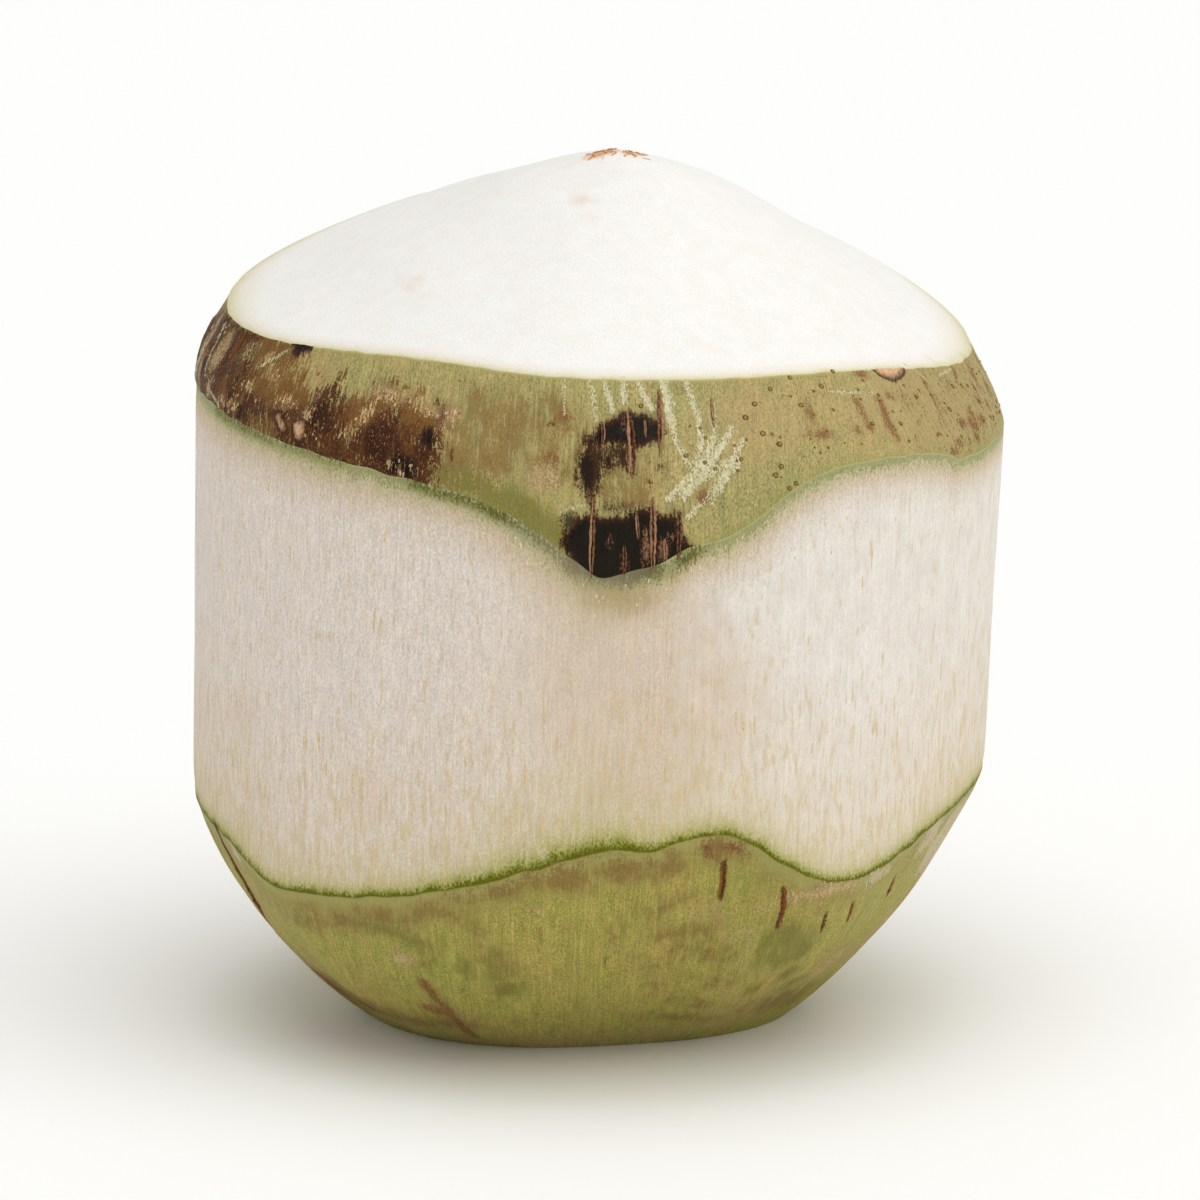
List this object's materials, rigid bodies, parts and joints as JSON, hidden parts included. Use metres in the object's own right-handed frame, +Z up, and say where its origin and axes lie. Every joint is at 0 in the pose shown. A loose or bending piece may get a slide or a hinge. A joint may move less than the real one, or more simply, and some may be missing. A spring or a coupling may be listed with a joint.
{
  "type": "trimmed young coconut",
  "caption": "Young green coconut trimmed for drinking: pointed top cut, band of blotched green skin, upright white side and a skin-covered base on a flat foot.",
  "frame": {"origin": "middle of the flat foot that the coconut stands on", "axes": "+Z up through the pointed top, -Y towards the side that the picture shows, +X to the right seen from there"},
  "size_m": [0.1199, 0.1189, 0.1297],
  "materials": {
    "husk": "matt, moist, fibrous cut pith with waxy olive-green skin on the band and the base"
  },
  "bodies": {
    "root": {"coconut": "husk"}
  },
  "joints": []
}
